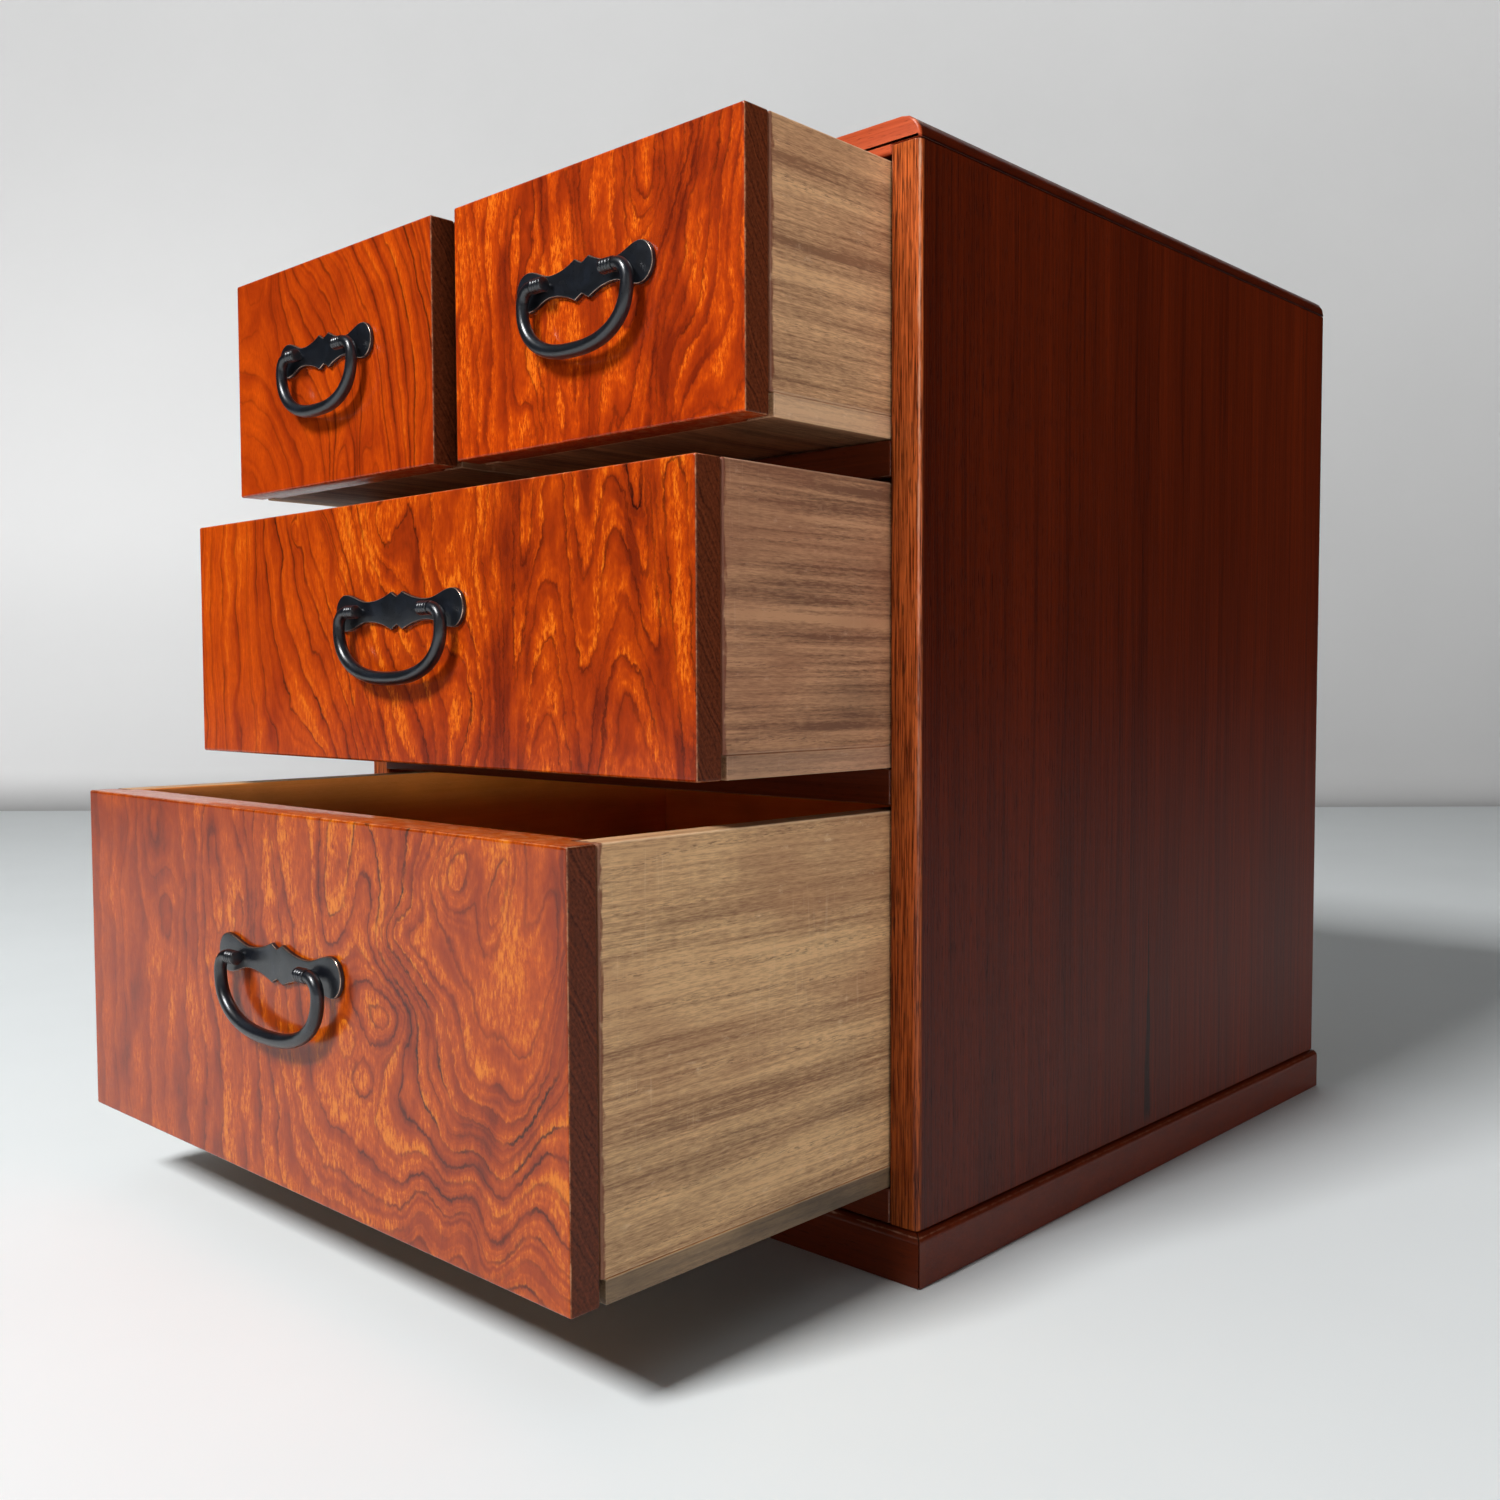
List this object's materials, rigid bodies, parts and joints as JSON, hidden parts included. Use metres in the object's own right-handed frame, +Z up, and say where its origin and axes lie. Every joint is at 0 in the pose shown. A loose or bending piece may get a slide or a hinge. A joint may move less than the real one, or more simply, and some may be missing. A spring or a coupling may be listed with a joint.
{
  "type": "four-drawer tabletop chest",
  "caption": "Small lacquered wooden tabletop chest with sliding drawers in three rows on a plinth, each drawer pulled by a swinging iron bail on a shaped plate.",
  "frame": {"origin": "on the floor at mid-width, in the plane of the case's front edges", "axes": "+X to the right seen from the front, +Y to the back, +Z up"},
  "size_m": [0.3078, 0.4433, 0.36],
  "materials": {
    "front_lacquer": "glossy orange-red lacquer on figured hardwood",
    "case_lacquer": "satin dark red-brown lacquer, straight grain",
    "top_lacquer": "satin red-brown lacquer",
    "shelf_wood": "oiled hardwood edges",
    "back_wood": "plain unlacquered softwood",
    "plinth_lacquer": "dark satin lacquer",
    "drawer_wood": "pale soft wood, matt",
    "handle_iron": "blue-black semi-gloss iron, edges worn"
  },
  "bodies": {
    "case": {"left_side_board": "case_lacquer", "right_side_board": "case_lacquer", "top_board": "top_lacquer", "bottom_board": "shelf_wood", "lower_shelf": "shelf_wood", "upper_shelf": "shelf_wood", "top_row_divider": "shelf_wood", "back_panel": "back_wood", "front_plinth_rail": "plinth_lacquer", "left_plinth_rail": "plinth_lacquer", "right_plinth_rail": "plinth_lacquer", "rear_plinth_rail": "plinth_lacquer"},
    "top_left_drawer": {"top_left_drawer_front": "front_lacquer", "top_left_drawer_left_side": "drawer_wood", "top_left_drawer_right_side": "drawer_wood", "top_left_drawer_back": "drawer_wood", "top_left_drawer_bottom": "drawer_wood", "top_left_drawer_handle_plate": "handle_iron", "top_left_drawer_left_handle_post": "handle_iron", "top_left_drawer_right_handle_post": "handle_iron"},
    "top_left_bail": {"top_left_drawer_bail": "handle_iron"},
    "top_right_drawer": {"top_right_drawer_front": "front_lacquer", "top_right_drawer_left_side": "drawer_wood", "top_right_drawer_right_side": "drawer_wood", "top_right_drawer_back": "drawer_wood", "top_right_drawer_bottom": "drawer_wood", "top_right_drawer_handle_plate": "handle_iron", "top_right_drawer_left_handle_post": "handle_iron", "top_right_drawer_right_handle_post": "handle_iron"},
    "top_right_bail": {"top_right_drawer_bail": "handle_iron"},
    "middle_drawer": {"middle_drawer_front": "front_lacquer", "middle_drawer_left_side": "drawer_wood", "middle_drawer_right_side": "drawer_wood", "middle_drawer_back": "drawer_wood", "middle_drawer_bottom": "drawer_wood", "middle_drawer_handle_plate": "handle_iron", "middle_drawer_left_handle_post": "handle_iron", "middle_drawer_right_handle_post": "handle_iron"},
    "middle_bail": {"middle_drawer_bail": "handle_iron"},
    "bottom_drawer": {"bottom_drawer_front": "front_lacquer", "bottom_drawer_left_side": "drawer_wood", "bottom_drawer_right_side": "drawer_wood", "bottom_drawer_back": "drawer_wood", "bottom_drawer_bottom": "drawer_wood", "bottom_drawer_handle_plate": "handle_iron", "bottom_drawer_left_handle_post": "handle_iron", "bottom_drawer_right_handle_post": "handle_iron"},
    "bottom_bail": {"bottom_drawer_bail": "handle_iron"}
  },
  "joints": [
    {"name": "top_left_drawer_slide", "type": "slide", "parent": "case", "child": "top_left_drawer", "axis": [0, -1, 0], "range_m": [-0.0664, 0.1686]},
    {"name": "top_left_bail_swing", "type": "hinge", "parent": "top_left_drawer", "child": "top_left_bail", "pos_m": [-0.07275, -0.0714, 0.31195], "axis": [-1, 0, 0], "range_deg": [-4, 184]},
    {"name": "top_right_drawer_slide", "type": "slide", "parent": "case", "child": "top_right_drawer", "axis": [0, -1, 0], "range_m": [-0.0648, 0.1702]},
    {"name": "top_right_bail_swing", "type": "hinge", "parent": "top_right_drawer", "child": "top_right_bail", "pos_m": [0.07275, -0.0698, 0.31195], "axis": [-1, 0, 0], "range_deg": [-4, 184]},
    {"name": "middle_drawer_slide", "type": "slide", "parent": "case", "child": "middle_drawer", "axis": [0, -1, 0], "range_m": [-0.0844, 0.1506]},
    {"name": "middle_bail_swing", "type": "hinge", "parent": "middle_drawer", "child": "middle_bail", "pos_m": [0, -0.0894, 0.2126], "axis": [-1, 0, 0], "range_deg": [-4, 184]},
    {"name": "bottom_drawer_slide", "type": "slide", "parent": "case", "child": "bottom_drawer", "axis": [0, -1, 0], "range_m": [-0.13, 0.105]},
    {"name": "bottom_bail_swing", "type": "hinge", "parent": "bottom_drawer", "child": "bottom_bail", "pos_m": [0, -0.135, 0.1005], "axis": [-1, 0, 0], "range_deg": [-4, 184]}
  ]
}
